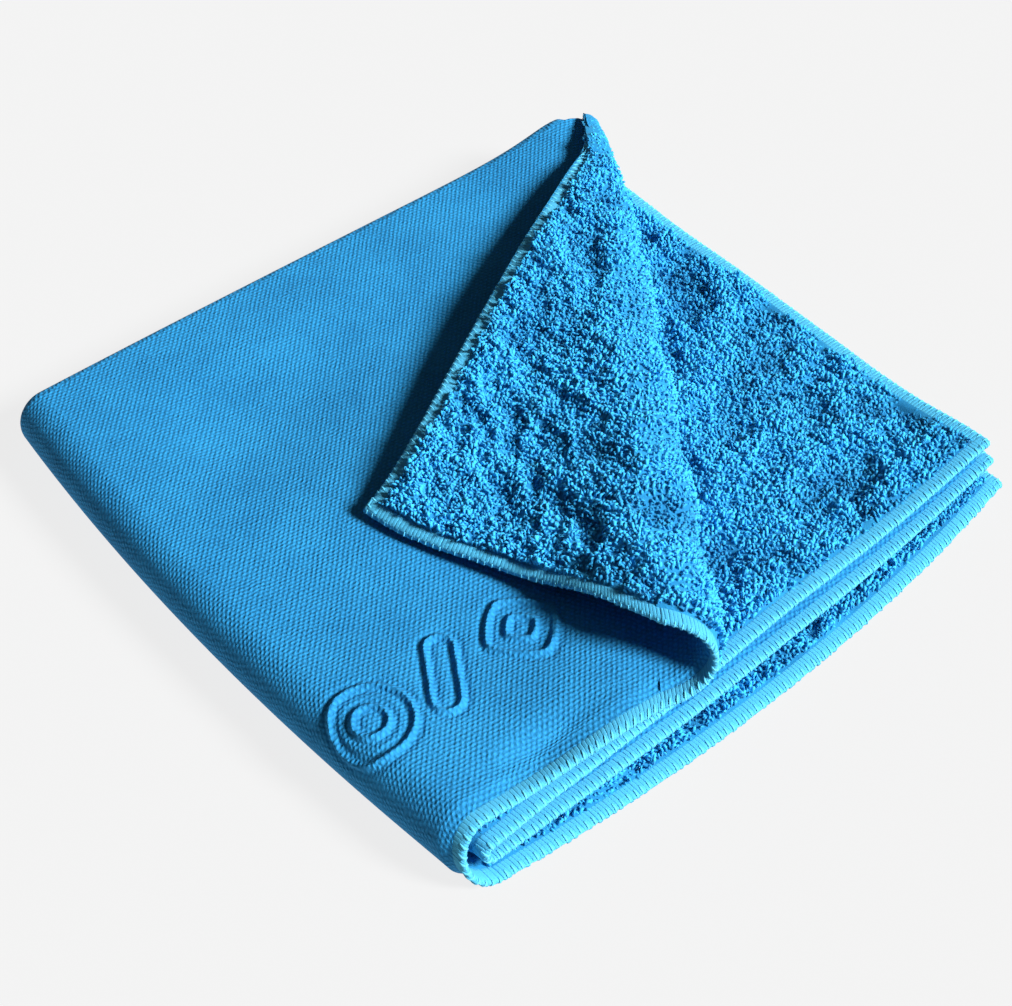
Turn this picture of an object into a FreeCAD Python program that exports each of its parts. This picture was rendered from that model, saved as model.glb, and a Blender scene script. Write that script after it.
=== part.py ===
import FreeCAD, Part
import math
import os
import Sketcher
from FreeCAD import Placement, Rotation, Vector

# A square dual-pile polishing towel, folded in half along the back and in half again along the spine, so that
# four layers lie in a stack. One corner of the top layer is turned back over it in a roll that widens towards
# the front. Every raw edge is bound with overlock thread.
#
# The origin is at the centre of the stack's footprint, on the table. +X runs along the open front edge, from
# the spine to the loose corner, +Y runs from the front to the back fold, and +Z is up. Sizes are millimetres.

doc = FreeCAD.newDocument("folded_towel")

# ---- driving dimensions ----

SIZES = {
    "folded_width": 206.0,  # across the folded towel, spine to open side
    "folded_depth": 206.0,  # front edge to back fold
    "cloth_thickness": 4.6,  # one layer with its pile, pressed by the layers on it
    "layer_gap": 0.4,  # air between two layers
    "fold_gap": 0.4,  # room between pieces that turn against each other
    "crease_gap": 0.8,  # room between the roll and the sloping corner that leaves it
    "front_setback": 4.0,  # how far the bottom layer shows past the others at the front
    "binding_width": 5.5,  # overlock, from the cloth edge inwards
    "binding_thickness": 3.2,  # cloth edge squeezed by the thread round it
    "crease_front_run": 74.0,  # from the spine side to where the roll starts, along the front
    "crease_back_inset": 6.0,  # from the open side to the roll, at the back
    "roll_front_radius": 8.5,  # middle of the cloth, where the roll meets the front edge
    "tip_from_spine": 48.0,  # the turned-back corner's tip, from the spine side
    "tip_from_front": 101.0,  # and from the front edge
    "tip_lift": 0.4,  # extra air under the tip
}

sheet = doc.addObject("Spreadsheet::Sheet", "sizes")
for row, (alias, number) in enumerate(SIZES.items(), start=1):
    sheet.set("A%d" % row, alias)
    sheet.set("B%d" % row, str(number))
    sheet.setAlias("B%d" % row, alias)
doc.recompute()


def value(expression):
    """An expression on the sheet's cells, as a plain number."""
    return float(sheet.evalExpression(expression))


# Lines and levels that several pieces share, as expressions on the driving dimensions.
PITCH = "(sizes.cloth_thickness + sizes.layer_gap)"
HALF_CLOTH = "sizes.cloth_thickness / 2"
LEFT = "(-sizes.folded_width / 2)"
RIGHT = "(sizes.folded_width / 2)"
FRONT = "(-sizes.folded_depth / 2)"
BACK = "(sizes.folded_depth / 2)"
SPINE_RADIUS = "(1.5 * %s)" % PITCH
HAIRPIN_RADIUS = "(0.5 * %s)" % PITCH
SPINE_X = "(%s + %s + %s)" % (LEFT, SPINE_RADIUS, HALF_CLOTH)
BACK_Y = "(%s - %s - %s)" % (BACK, HAIRPIN_RADIUS, HALF_CLOTH)
UPPER_X = "(%s + sizes.fold_gap)" % SPINE_X
CLOTH_RIGHT = "(%s - sizes.binding_width)" % RIGHT
SET_FRONT = "(%s + sizes.front_setback)" % FRONT
CREASE_FRONT_X = "(%s + sizes.crease_front_run)" % LEFT
CREASE_BACK_X = "(%s - sizes.crease_back_inset)" % RIGHT


def layer_middle(layer):
    """Height of the middle of a layer, counted from 0 at the bottom."""
    return "(%d * %s + %s)" % (layer, PITCH, HALF_CLOTH)


def crease_x(y):
    """The crease's straight line in plan: x at a given y."""
    share = "((%s - %s) / (%s - %s))" % (y, SET_FRONT, BACK_Y, SET_FRONT)
    return "(%s + (%s - %s) * %s)" % (CREASE_FRONT_X, CREASE_BACK_X, CREASE_FRONT_X, share)


pieces = []


def keep(piece, label):
    """Marks an object as a sub-part that is written out under its label."""
    piece.Label = label
    pieces.append(piece)
    return piece


def place(piece, x, y, z):
    """Binds a piece's position to the sheet."""
    piece.setExpression("Placement.Base.x", x)
    piece.setExpression("Placement.Base.y", y)
    piece.setExpression("Placement.Base.z", z)


# ---- flat panels: an outline cut from the cloth, as thick as one layer ----


def sketch_in(body, role):
    """A sketch on one of the body's own origin planes."""
    plane = [feature for feature in body.Origin.OriginFeatures if feature.Role == role][0]
    sketch = body.newObject("Sketcher::SketchObject", body.Name + "_outline")
    sketch.AttachmentSupport = [(plane, "")]
    sketch.MapMode = "FlatFace"
    return sketch


def bind(sketch, constraint, expression):
    """Adds a constraint and ties it to the sheet."""
    index = sketch.addConstraint(constraint)
    sketch.setExpression("Constraints[%d]" % index, expression)


def panel(label, layer, corners):
    """A flat layer of cloth. Corners are x and y expressions, going round anticlockwise."""
    body = doc.addObject("PartDesign::Body", label)
    sketch = sketch_in(body, "XY_Plane")
    # Distances run from the footprint's front left corner, so that all of them are positive.
    measured = [("%s - %s" % (x, LEFT), "%s - %s" % (y, FRONT)) for x, y in corners]
    points = [Vector(value(x), value(y), 0) for x, y in measured]
    count = len(points)
    for index in range(count):
        sketch.addGeometry(Part.LineSegment(points[index], points[(index + 1) % count]))
    for index in range(count):
        sketch.addConstraint(Sketcher.Constraint("Coincident", index, 2, (index + 1) % count, 1))
    for index, (x, y) in enumerate(measured):
        bind(sketch, Sketcher.Constraint("DistanceX", -1, 1, index, 1, points[index].x), x)
        bind(sketch, Sketcher.Constraint("DistanceY", -1, 1, index, 1, points[index].y), y)
    pad = body.newObject("PartDesign::Pad", label + "_pad")
    pad.Profile = sketch
    pad.setExpression("Length", "sizes.cloth_thickness")
    place(body, LEFT, FRONT, "%d * %s" % (layer, PITCH))
    return keep(body, label)


def rectangle(x_low, x_high, y_low, y_high):
    return [(x_low, y_low), (x_high, y_low), (x_high, y_high), (x_low, y_high)]


BOTTOM_CLOTH_FRONT = "(%s + sizes.binding_width)" % FRONT
CLOTH_FRONT = "(%s + sizes.binding_width)" % SET_FRONT

panel("bottom_panel", 0, rectangle(SPINE_X, CLOTH_RIGHT, BOTTOM_CLOTH_FRONT, BACK_Y))
panel("third_panel", 1, rectangle(SPINE_X, CLOTH_RIGHT, CLOTH_FRONT, BACK_Y))
panel("second_panel", 2, rectangle(UPPER_X, CLOTH_RIGHT, CLOTH_FRONT, BACK_Y))
panel(
    "top_panel",
    3,
    [
        (UPPER_X, CLOTH_FRONT),
        (crease_x(CLOTH_FRONT), CLOTH_FRONT),
        (crease_x(BACK_Y), BACK_Y),
        (UPPER_X, BACK_Y),
    ],
)

# ---- folds: half tubes that join two layers ----

AWAY_FROM_SPINE = Rotation(Vector(0, 0, -1), Vector(-1, 0, 0), Vector(0, 1, 0), "XYZ")
AWAY_FROM_BACK = Rotation(Vector(0, 0, -1), Vector(0, 1, 0), Vector(1, 0, 0), "XYZ")


def half_tube(label, middle_radius, wall, length, turn, x, y, z):
    """A half tube: its local Z runs along the fold, and it bulges along its local Y."""
    outer = doc.addObject("Part::Cylinder", label + "_outside")
    outer.setExpression("Radius", "%s + %s / 2" % (middle_radius, wall))
    outer.setExpression("Height", length)
    outer.Angle = 180
    inner = doc.addObject("Part::Cylinder", label + "_inside")
    inner.setExpression("Radius", "%s - %s / 2" % (middle_radius, wall))
    inner.setExpression("Height", length)
    fold = doc.addObject("Part::Cut", label)
    fold.Base = outer
    fold.Tool = inner
    fold.Placement = Placement(Vector(0, 0, 0), turn)
    place(fold, x, y, z)
    return keep(fold, label)


CLOTH = "sizes.cloth_thickness"
THREAD = "sizes.binding_thickness"
SPINE_Z = "(%s + %s)" % (SPINE_RADIUS, HALF_CLOTH)
SPINE_LENGTH = "%s - %s" % (BACK_Y, CLOTH_FRONT)

for name, radius in (("outer", SPINE_RADIUS), ("inner", HAIRPIN_RADIUS)):
    half_tube(
        "spine_fold_" + name, radius, CLOTH, SPINE_LENGTH, AWAY_FROM_SPINE, SPINE_X, CLOTH_FRONT, SPINE_Z
    )
    half_tube(
        "binding_spine_" + name, radius, THREAD, "sizes.binding_width",
        AWAY_FROM_SPINE, SPINE_X, SET_FRONT, SPINE_Z,
    )
for name, start, lower in (("lower", SPINE_X, 0), ("upper", UPPER_X, 2)):
    height = "(%s + %s)" % (layer_middle(lower), HAIRPIN_RADIUS)
    half_tube(
        "back_fold_" + name, HAIRPIN_RADIUS, CLOTH, "%s - %s" % (CLOTH_RIGHT, start),
        AWAY_FROM_BACK, start, BACK_Y, height,
    )
    half_tube(
        "binding_back_" + name, HAIRPIN_RADIUS, THREAD, "sizes.binding_width",
        AWAY_FROM_BACK, CLOTH_RIGHT, BACK_Y, height,
    )

# The middle of the cloth, where both folds cross, is a rounded corner of four layers.
corner = doc.addObject("Part::Ellipsoid", "folded_corner")
corner.Angle3 = 90
corner.setExpression("Radius1", SPINE_Z)
corner.setExpression("Radius2", "%s + %s" % (HAIRPIN_RADIUS, HALF_CLOTH))
corner.setExpression("Radius3", SPINE_Z)
corner.Placement = Placement(Vector(0, 0, 0), Rotation(Vector(0, 0, 1), 90))
place(corner, SPINE_X, BACK_Y, SPINE_Z)
keep(corner, "folded_corner")

# ---- straight bindings: a bar with a rounded outer side along a raw edge ----

ALONG_FRONT = Rotation()
ALONG_SIDE = Rotation(Vector(0, 0, 1), 90)


def binding(label, length, turn, x, y, z):
    """A bar along its local X. The cloth is at its local y = 0 and its round side faces local -Y."""
    body = doc.addObject("PartDesign::Body", label)
    sketch = sketch_in(body, "YZ_Plane")
    half = value("sizes.binding_thickness / 2")
    straight = value("sizes.binding_width") - half
    low_in, low_out = Vector(0, -half, 0), Vector(-straight, -half, 0)
    high_in, high_out = Vector(0, half, 0), Vector(-straight, half, 0)
    sketch.addGeometry(Part.LineSegment(low_out, low_in))
    sketch.addGeometry(Part.LineSegment(low_in, high_in))
    sketch.addGeometry(Part.LineSegment(high_in, high_out))
    round_side = Part.Circle(Vector(-straight, 0, 0), Vector(0, 0, 1), half)
    sketch.addGeometry(Part.ArcOfCircle(round_side, math.pi / 2, 3 * math.pi / 2))
    sketch.addConstraint(Sketcher.Constraint("Coincident", 0, 2, 1, 1))
    sketch.addConstraint(Sketcher.Constraint("Coincident", 1, 2, 2, 1))
    sketch.addConstraint(Sketcher.Constraint("Tangent", 2, 2, 3, 1))
    sketch.addConstraint(Sketcher.Constraint("Tangent", 3, 2, 0, 1))
    sketch.addConstraint(Sketcher.Constraint("Horizontal", 0))
    sketch.addConstraint(Sketcher.Constraint("PointOnObject", 1, 1, -2))
    sketch.addConstraint(Sketcher.Constraint("Vertical", 1))
    sketch.addConstraint(Sketcher.Constraint("PointOnObject", 3, 3, -1))
    bind(sketch, Sketcher.Constraint("DistanceY", 1, 1, 1, 2, 2 * half), THREAD)
    reach = Sketcher.Constraint("DistanceX", 3, 3, 1, 1, straight)
    bind(sketch, reach, "sizes.binding_width - sizes.binding_thickness / 2")
    pad = body.newObject("PartDesign::Pad", label + "_pad")
    pad.Profile = sketch
    pad.setExpression("Length", length)
    body.Placement = Placement(Vector(0, 0, 0), turn)
    place(body, x, y, z)
    return keep(body, label)


LAYERS = (
    ("bottom", 0, SPINE_X, BOTTOM_CLOTH_FRONT),
    ("third", 1, SPINE_X, CLOTH_FRONT),
    ("second", 2, UPPER_X, CLOTH_FRONT),
)
for name, layer, start, front in LAYERS:
    level = layer_middle(layer)
    across = "%s - %s" % (RIGHT, start)
    binding("binding_%s_front" % name, across, ALONG_FRONT, start, front, level)
    along = "%s - %s" % (BACK_Y, front)
    binding("binding_%s_side" % name, along, ALONG_SIDE, CLOTH_RIGHT, front, level)
top_run = "%s - %s" % (crease_x(SET_FRONT), UPPER_X)
binding("binding_top_front", top_run, ALONG_FRONT, UPPER_X, CLOTH_FRONT, layer_middle(3))

# ---- the rolled bend: half of a thin cone whose lower line lies in the top layer ----

top_middle = value(layer_middle(3))
hairpin_radius = value(HAIRPIN_RADIUS)
roll_radius = value("sizes.roll_front_radius")
crease_back = Vector(value(CREASE_BACK_X), value(BACK_Y), top_middle)
crease_front = Vector(value(CREASE_FRONT_X), value(SET_FRONT), top_middle)
axis_back = crease_back + Vector(0, 0, hairpin_radius)
axis_front = crease_front + Vector(0, 0, roll_radius)
axis = axis_front - axis_back
along_axis = Vector(axis).normalize()
outwards = Vector(-along_axis.y, along_axis.x, 0).normalize()
roll_turn = Rotation(outwards.cross(along_axis), outwards, along_axis, "ZYX")


def roll(label, wall, y_low, y_high):
    """The cone shell of the roll, as thick as wall, between two lines across the stack."""
    skins = []
    for side, sign in (("outside", "+"), ("inside", "-")):
        cone = doc.addObject("Part::Cone", "%s_%s" % (label, side))
        cone.setExpression("Radius1", "%s %s %s / 2" % (HAIRPIN_RADIUS, sign, wall))
        cone.setExpression("Radius2", "sizes.roll_front_radius %s %s / 2" % (sign, wall))
        cone.Height = axis.Length
        cone.Angle = 180 if side == "outside" else 360
        skins.append(cone)
    shell = doc.addObject("Part::Cut", label + "_shell")
    shell.Base = skins[0]
    shell.Tool = skins[1]
    shell.Placement = Placement(axis_back, roll_turn)
    trim = doc.addObject("Part::Box", label + "_trim")
    trim.setExpression("Length", "sizes.folded_width")
    trim.setExpression("Width", "%s - %s" % (y_high, y_low))
    trim.setExpression("Height", "4 * sizes.roll_front_radius + 4 * %s" % PITCH)
    place(trim, LEFT, y_low, "0")
    trimmed = doc.addObject("Part::Common", label)
    trimmed.Base = shell
    trimmed.Tool = trim
    return keep(trimmed, label)


roll("flap_crease", CLOTH, CLOTH_FRONT, BACK_Y)
roll("binding_crease", THREAD, SET_FRONT, CLOTH_FRONT)

# ---- the turned-back corner: a sloping triangle from the top of the roll down to its tip ----

cloth_thickness = value("sizes.cloth_thickness")
binding_width = value("sizes.binding_width")
binding_thickness = value("sizes.binding_thickness")
fold_gap = value("sizes.fold_gap")
crease_gap = value("sizes.crease_gap")
tip = Vector(
    value("%s + sizes.tip_from_spine" % LEFT),
    value("%s + sizes.tip_from_front" % FRONT),
    value("4 * %s + %s + sizes.tip_lift" % (PITCH, HALF_CLOTH)),
)
flap_back = crease_back + Vector(0, 0, 2 * hairpin_radius) - outwards * crease_gap
flap_front = crease_front + Vector(0, 0, 2 * roll_radius) - outwards * crease_gap
flap_up = (flap_front - flap_back).cross(tip - flap_back).normalize()
if flap_up.z < 0:
    flap_up = -flap_up
side_run = (tip - flap_back).normalize()
front_run = (flap_front - tip).normalize()
side_in = flap_up.cross(side_run)
front_in = flap_up.cross(front_run)


def meeting(point, run, other, other_run):
    """Where two lines of the flap's plane cross."""
    side = flap_up.cross(other_run)
    return point + run * ((other - point).dot(side) / run.dot(side))


def solid_between(outline, direction):
    """A flat outline carried along a direction."""
    return Part.Face(Part.makePolygon(outline + [outline[0]])).extrude(direction)


crease_run = (flap_front - flap_back).normalize()
side_line = flap_back + side_in * binding_width
front_line = tip + front_in * binding_width
cloth_corners = [
    meeting(flap_back, crease_run, side_line, side_run),
    meeting(side_line, side_run, front_line, front_run),
    meeting(flap_back, crease_run, front_line, front_run),
]


def part_feature(label, shape):
    """A piece whose skew shape is set here from the sheet's values."""
    feature = doc.addObject("Part::Feature", label)
    feature.Shape = shape
    feature.Placement = Placement()
    return keep(feature, label)


def edge_bar(start, end, inwards):
    """The binding's section, round on its outer side, carried from start to end along a raw edge."""
    half = binding_thickness / 2
    centre = start + inwards * half
    low, high = centre - flap_up * half, centre + flap_up * half
    reach = inwards * (binding_width - half)
    nose = Part.Arc(low, start, high).toShape()
    rest = Part.makePolygon([high, high + reach, low + reach, low])
    section = Part.Face(Part.Wire([nose] + rest.Edges))
    return section.extrude(end - start)


underside = [point - flap_up * (cloth_thickness / 2) for point in cloth_corners]
part_feature("corner_flap", solid_between(underside, flap_up * cloth_thickness))
side_start = meeting(flap_back, crease_run, side_line, side_run) - side_in * binding_width
part_feature("binding_flap_side", edge_bar(side_start, tip, side_in))
front_start = meeting(tip, front_run, side_line, side_run) + front_run * fold_gap
front_end = meeting(flap_back, crease_run, front_line, front_run) - front_in * binding_width
part_feature("binding_flap_front", edge_bar(front_start, front_end, front_in))

# ---- check every object, then write one file for each piece ----

doc.recompute()
for item in doc.Objects:
    if {"Invalid", "Error"} & set(item.State):
        raise RuntimeError("%s did not recompute: %s" % (item.Name, item.State))
os.makedirs("parts", exist_ok=True)
for piece in pieces:
    shape = piece.Shape
    if shape.isNull() or not shape.isValid() or not shape.Solids:
        raise RuntimeError("%s has no valid solid" % piece.Label)
for piece in pieces:
    piece.Shape.exportStep(os.path.join("parts", piece.Label + ".step"))
    box = piece.Shape.BoundBox
    print(
        "%-22s %9.1f mm3  x %7.2f %7.2f  y %7.2f %7.2f  z %6.2f %6.2f"
        % (piece.Label, piece.Shape.Volume, box.XMin, box.XMax, box.YMin, box.YMax, box.ZMin, box.ZMax)
    )
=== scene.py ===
import math

import bpy
import numpy as np
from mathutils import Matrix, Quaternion, Vector


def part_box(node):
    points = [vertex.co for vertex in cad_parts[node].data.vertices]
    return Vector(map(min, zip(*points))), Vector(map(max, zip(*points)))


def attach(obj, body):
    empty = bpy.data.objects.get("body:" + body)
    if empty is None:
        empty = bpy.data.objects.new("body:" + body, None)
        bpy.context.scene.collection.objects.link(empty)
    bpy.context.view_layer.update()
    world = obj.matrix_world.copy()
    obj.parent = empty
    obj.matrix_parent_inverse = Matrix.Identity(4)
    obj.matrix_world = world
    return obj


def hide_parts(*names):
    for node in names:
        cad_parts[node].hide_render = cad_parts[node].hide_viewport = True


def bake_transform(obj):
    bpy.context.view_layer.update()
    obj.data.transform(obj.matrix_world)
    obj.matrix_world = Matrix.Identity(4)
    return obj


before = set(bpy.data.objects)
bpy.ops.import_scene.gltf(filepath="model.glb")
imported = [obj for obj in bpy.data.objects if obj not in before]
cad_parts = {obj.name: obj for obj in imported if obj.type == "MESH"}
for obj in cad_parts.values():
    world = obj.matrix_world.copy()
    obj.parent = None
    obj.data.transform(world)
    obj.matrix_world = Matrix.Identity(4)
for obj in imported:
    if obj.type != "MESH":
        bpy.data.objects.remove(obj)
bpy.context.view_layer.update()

# ---- The folded stack ----
# One square towel of dual-pile microfibre is folded in half along the back, then again along the spine, so
# four layers lie in a stack. Nothing but the grip of the pile holds them: each has slid and bowed a little.

MM = 0.001


def box_mm(node):
    """A CAD node's lowest and highest corners, in millimetres."""
    low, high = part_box(node)
    return np.array(low) / MM, np.array(high) / MM


bottom_low, bottom_high = box_mm("bottom_panel")
spine_x, back_y = bottom_low[0], bottom_high[1]
side_x = box_mm("binding_bottom_side")[1][0]
bottom_front_y = box_mm("binding_bottom_front")[0][1]
front_y = box_mm("binding_second_front")[0][1]
binding_width = side_x - bottom_high[0]
half_cloth = (bottom_high[2] - bottom_low[2]) / 2
layer_width = side_x - spine_x
layer_depth = back_y - front_y


def wavy(x, y, size, seed, waves=16):
    """Smooth random height, about -2 to 2: plane waves about `size` long, added up in random directions."""
    draw = np.random.default_rng(seed)
    turn = draw.uniform(0, 2 * math.pi, waves)
    pitch = 2 * math.pi / (size * draw.uniform(0.7, 1.5, waves))
    start = draw.uniform(0, 2 * math.pi, waves)
    total = np.zeros(np.broadcast(x, y).shape)
    for angle, rate, phase in zip(turn, pitch, start):
        total = total + np.sin(rate * (x * math.cos(angle) + y * math.sin(angle)) + phase)
    return total / math.sqrt(waves / 2)


def smooth(t):
    """Rises from 0 to 1 with level ends: 3 t squared less 2 t cubed."""
    t = np.clip(t, 0, 1)
    return t * t * (3 - 2 * t)


def xyz(x, y, z):
    """Three arrays as points."""
    return np.stack(np.broadcast_arrays(x, y, z), axis=-1)


SPINE_BOW = -5.5  # the spine side bulges this far, half way along
BACK_BOW = 1.5
SPINE_SHIFT = 5.7  # the front end of the spine lies this far inside a true square
SPINE_BACK_SHIFT = -2.2
DENT_AT = (-62.0, -89.5)  # a dent at the front of the upper layers
DENT_SIZE, DENT_DEEP = 8.0, 1.5
SWELL_HEIGHT, SWELL_SIZE = 0.45, 70
LIFT_SPREAD = 0.018  # of the loose corner, in shares of the layer's sides, squared
DROOP_REACH = 4  # an edge that droops comes down over this distance


class Layer:
    """One layer's middle surface. A point of the true square is shifted by its four corners' shifts, blended
    in straight lines, and by a parabola along the front, back and spine sides that fades towards the other
    side. Its height is the CAD layer's, with a bell at the loose corner, swells, a dent and a droop."""

    def __init__(self, node, front, shifts, front_bow, flare, corner_lift, droop, give):
        low, high = box_mm(node)
        self.middle = (low[2] + high[2]) / 2
        self.front, self.shifts, self.front_bow, self.flare = front, shifts, front_bow, flare
        self.corner_lift, self.droop, self.give = corner_lift, droop, give

    def __call__(self, x, y):
        u = (x - spine_x) / layer_width
        v = (y - self.front) / (back_y - self.front)
        weights = ((1 - u) * (1 - v), u * (1 - v), u * v, (1 - u) * v)
        shift_x = sum(w * s[0] for w, s in zip(weights, self.shifts))
        shift_y = sum(w * s[1] for w, s in zip(weights, self.shifts))
        shift_x = shift_x + SPINE_BOW * 4 * v * (1 - v) * (1 - u) + self.flare * u * np.clip(v, 0, 2) ** 12
        shift_y = shift_y + self.front_bow * 4 * u * (1 - u) * (1 - v) + BACK_BOW * 4 * u * (1 - u) * v
        away = np.minimum(side_x - x, y - self.front)
        lift = self.corner_lift * np.exp(-((1 - u) ** 2 + v**2) / LIFT_SPREAD)
        swell = self.give * SWELL_HEIGHT * wavy(x, y, SWELL_SIZE, 5) * smooth(u * 6) * smooth((1 - v) * 6)
        from_dent = (x - DENT_AT[0]) ** 2 + (y - DENT_AT[1]) ** 2
        dent = self.give * DENT_DEEP * np.exp(-from_dent / DENT_SIZE**2)
        droop = self.droop * np.exp(-np.abs(away) / DROOP_REACH)
        return xyz(x + shift_x, y + shift_y, self.middle + lift + swell - dent - droop)


spine_back = (SPINE_BACK_SHIFT, -0.2)
bottom_shifts = ((SPINE_SHIFT, -0.5), (-1.5, 13.0), (0, 0.2), spine_back)
third_shifts = ((SPINE_SHIFT, -2.5), (-3.3, 12.0), (0, 0.2), spine_back)
second_shifts = ((SPINE_SHIFT, -2.0), (-3.8, 14.0), (-2.5, 0.2), spine_back)
top_shifts = ((SPINE_SHIFT, 2.0), (0, 0), (0, 0), spine_back)
bottom_layer = Layer("bottom_panel", bottom_front_y, bottom_shifts, -7.5, 1.0, 0.6, 1.1, 0)
third_layer = Layer("third_panel", front_y, third_shifts, -2.5, 2.0, 2.6, 0, 0.4)
second_layer = Layer("second_panel", front_y, second_shifts, 0, 0.5, 3.0, 0, 0.8)
top_layer = Layer("top_panel", front_y, top_shifts, 0, 0, 0, 0, 1)

# ---- The cloth and its short pile ----
# A warp-knitted ground of split polyester and polyamide fibre, dyed through. One face is a short knitted pile
# in staggered stitches, the other a long curly one, and the whole cloth is about 4 mm thick.


class Wire:
    """A value or colour in a material. Sums and products of values add Math nodes."""

    def __init__(self, paint, socket):
        self.paint, self.socket = paint, socket

    def math(self, operation, *others):
        inputs = {index: value for index, value in enumerate((self, *others))}
        return self.paint.add("ShaderNodeMath", {"operation": operation}, inputs)

    def __add__(self, other):
        return self.math("ADD", other)

    def __mul__(self, other):
        return self.math("MULTIPLY", other)

    __radd__ = __add__
    __rmul__ = __mul__


class Paint:
    """A material that is being written, node by node."""

    def __init__(self, name):
        self.material = bpy.data.materials.new(name)
        self.material.use_nodes = True
        self.tree = self.material.node_tree
        self.tree.nodes.clear()

    def add(self, kind, settings, inputs, output=0):
        """Adds a node: its type, its settings, then its sockets' values or wires. Returns one output."""
        node = self.tree.nodes.new(kind)
        for name, value in settings.items():
            setattr(node, name, value)
        for name, value in inputs.items():
            if isinstance(value, Wire):
                self.tree.links.new(value.socket, node.inputs[name])
            else:
                node.inputs[name].default_value = value
        return Wire(self, node.outputs[output])

    def attribute(self, name, output):
        return self.add("ShaderNodeAttribute", {"attribute_name": name}, {}, output)

    def noise(self, place, scale, detail):
        return self.add("ShaderNodeTexNoise", {}, {"Vector": place, "Scale": scale, "Detail": detail})

    def ramp(self, value, low, high):
        """0 at low, 1 at high, with level ends."""
        inputs = {"Value": value, "From Min": low, "From Max": high}
        return self.add("ShaderNodeMapRange", {"interpolation_type": "SMOOTHSTEP"}, inputs)

    def between(self, share, first, second):
        """A colour between two, through the colour sockets of a Mix node."""
        return self.add("ShaderNodeMix", {"data_type": "RGBA"}, {0: share, 6: first, 7: second}, 2)

    def finish(self, shader):
        out = self.tree.nodes.new("ShaderNodeOutputMaterial")
        self.tree.links.new(shader.socket, out.inputs["Surface"])
        return self.material

    def fibres(self, colour, height, bump_mm, sheen):
        """A matt base under a soft blue sheen, with the height field as bump."""
        inputs = {"Height": height, "Distance": bump_mm * MM, "Strength": 1.0}
        normal = self.add("ShaderNodeBump", {}, inputs)
        inputs = {
            "Base Color": colour,
            "Roughness": 0.85,
            "Normal": normal,
            "Sheen Weight": sheen,
            "Sheen Roughness": 0.45,
            "Sheen Tint": SHEEN_BLUE,
            "Specular IOR Level": 0.12,
        }
        return self.finish(self.add("ShaderNodeBsdfPrincipled", {}, inputs))


SHEEN_BLUE = (0.25, 0.72, 1.0, 1)
# the short pile's two colours, mixed by the stitches' height as painted shade and painted highlight, and by
# random patches
SHORT_DEEP = (0.009, 0.145, 0.355, 1)
SHORT_BRIGHT = (0.028, 0.312, 0.655, 1)
COURSE = 1.15  # one row of stitches to the next
STITCH_LENGTH = 1.55
KNIT_SLANT = math.radians(7)
STRAY = 1.6  # the rows stray this far
STITCH_HEIGHT, FUZZ_HEIGHT = 0.8, 1.1


def short_pile_paint():
    """Knitted short pile: staggered stitches, as two crossing waves and one along the rows, with a fine fuzz.
    The stitches' tops are painted brighter and the hollows between them darker, as painted highlight and
    painted shade, and larger worn patches are brighter."""
    paint = Paint("short_pile")
    place = paint.attribute("cloth", "Vector")
    stray = paint.noise(place, 0.16, 3.0)
    turned = paint.add("ShaderNodeMapping", {}, {"Vector": place, "Rotation": (0, 0, KNIT_SLANT)})
    strayed = paint.add("ShaderNodeVectorMath", {"operation": "ADD"}, {0: turned, 1: stray * STRAY})
    along = paint.add("ShaderNodeSeparateXYZ", {}, {"Vector": strayed}, "X")
    across = paint.add("ShaderNodeSeparateXYZ", {}, {"Vector": strayed}, "Y")
    waves_along = (along * (2 * math.pi / STITCH_LENGTH)).math("COSINE")
    crossing = waves_along * (across * (math.pi / COURSE)).math("COSINE")
    rows = (across * (2 * math.pi / COURSE)).math("COSINE")
    fuzz = paint.noise(place, 1.3, 4.0)
    stitch = (crossing * 2 + rows + 1.5) * 0.22
    height = stitch * STITCH_HEIGHT + fuzz * FUZZ_HEIGHT
    patches = paint.noise(place, 0.035, 3.0)
    worn = paint.noise(place, 0.2, 2.0)
    # the stitches' height goes into the colour too: painted shade between the stitches, painted highlight on
    # their tops
    tone = paint.ramp(height + patches * 1.3 + worn * 0.6, 0.7, 2.5)
    return paint.fibres(paint.between(tone, SHORT_DEEP, SHORT_BRIGHT), height, 0.34, 0.08)


short_pile = short_pile_paint()

SHORT_SIDE = 2.0  # from the middle of the cloth to the face of the short pile
LONG_SIDE = 1.6  # and to the foot of the long pile
PINCHED = 0.8  # the same for both under the thread
PINCH_REACH = 1.8
RIM = 0.9  # the cloth ends this far inside the binding's outer edge
TUCK = 0.3  # each panel runs this far on under the folds that it joins
OVER = 0.06  # each bend runs on this far past its joints, in radians, under the panels beside it
STEP = 0.001  # for a surface's directions
RIM_SHARE = 0.03  # the extra grid line lies this share of a cell inside the rim


def squeezed(away, full):
    """Thickness near a bound edge: pinched under the thread, full a few millimetres further in."""
    return PINCHED + (full - PINCHED) * smooth((away - binding_width + 1.2) / PINCH_REACH)


def unit(v):
    """Vectors shortened or lengthened to 1."""
    return v / np.maximum(np.linalg.norm(v, axis=-1, keepdims=True), 1e-12)


def lie(surface, p, q):
    """A surface's points, its direction along p, and its normal along p x q, from small steps."""
    along = unit(surface(p + STEP, q) - surface(p - STEP, q))
    across = unit(surface(p, q + STEP) - surface(p, q - STEP))
    return surface(p, q), along, unit(np.cross(along, across))


def lines(low, high, spacing):
    """Grid lines at even distances, near the spacing that is asked for."""
    return np.linspace(low, high, max(3, int(round((high - low) / spacing)) + 1))


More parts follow.
